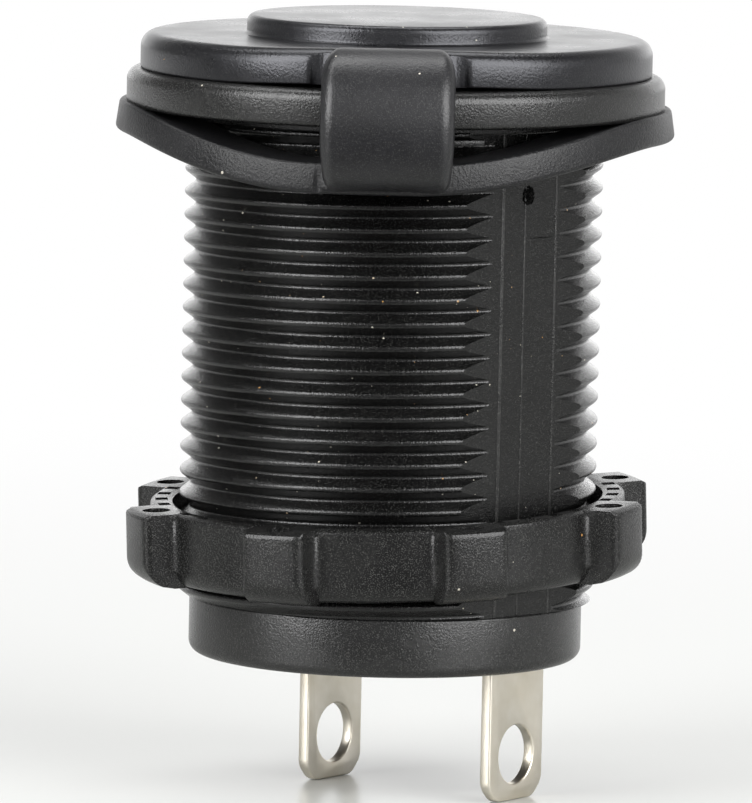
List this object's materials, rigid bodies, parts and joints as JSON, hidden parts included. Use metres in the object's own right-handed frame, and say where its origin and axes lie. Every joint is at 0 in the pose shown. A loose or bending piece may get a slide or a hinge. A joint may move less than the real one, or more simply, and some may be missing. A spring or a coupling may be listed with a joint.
{
  "type": "panel mounted power socket",
  "caption": "Round panel mounted power socket with a threaded barrel, lobed clamping nut, rubber cap on a strap and flat plug tabs.",
  "frame": {"origin": "on the barrel axis at the underside of the flange, where the panel clamps", "axes": "+Z out of the panel along the barrel axis, towards the cap; -Y towards the strap; +X to the right seen from the strap side"},
  "size_m": [0.0381, 0.0402, 0.0527],
  "materials": {
    "body_plastic": "black glass-filled nylon, fine grain",
    "nut_plastic": "black nylon, fine grain",
    "rubber": "matte black rubber",
    "nickel": "nickel plated brass, satin",
    "contact_brass": "plated spring brass",
    "fibre": "vulcanised fibre"
  },
  "bodies": {
    "socket": {"housing": "body_plastic", "base_plate": "body_plastic", "mounting_ring": "rubber", "cap_strap": "rubber", "contact_cup": "nickel", "upper_insulator": "fibre", "centre_contact": "contact_brass", "lower_insulator": "fibre", "centre_rivet": "nickel", "positive_tab": "nickel", "negative_tab": "nickel", "negative_rivet": "nickel"},
    "cap": {"cap": "rubber"},
    "nut": {"retaining_nut": "nut_plastic"}
  },
  "joints": [
    {"name": "cap_hinge", "type": "hinge", "parent": "socket", "child": "cap", "pos_m": [0, -0.0203, 0.0004], "axis": [1, 0, 0], "range_deg": [0, 170], "deforming": ["cap_strap"]},
    {"name": "nut_travel", "type": "slide", "parent": "socket", "child": "nut", "axis": [0, 0, 1], "range_m": [-0.0125, 0.022]}
  ]
}
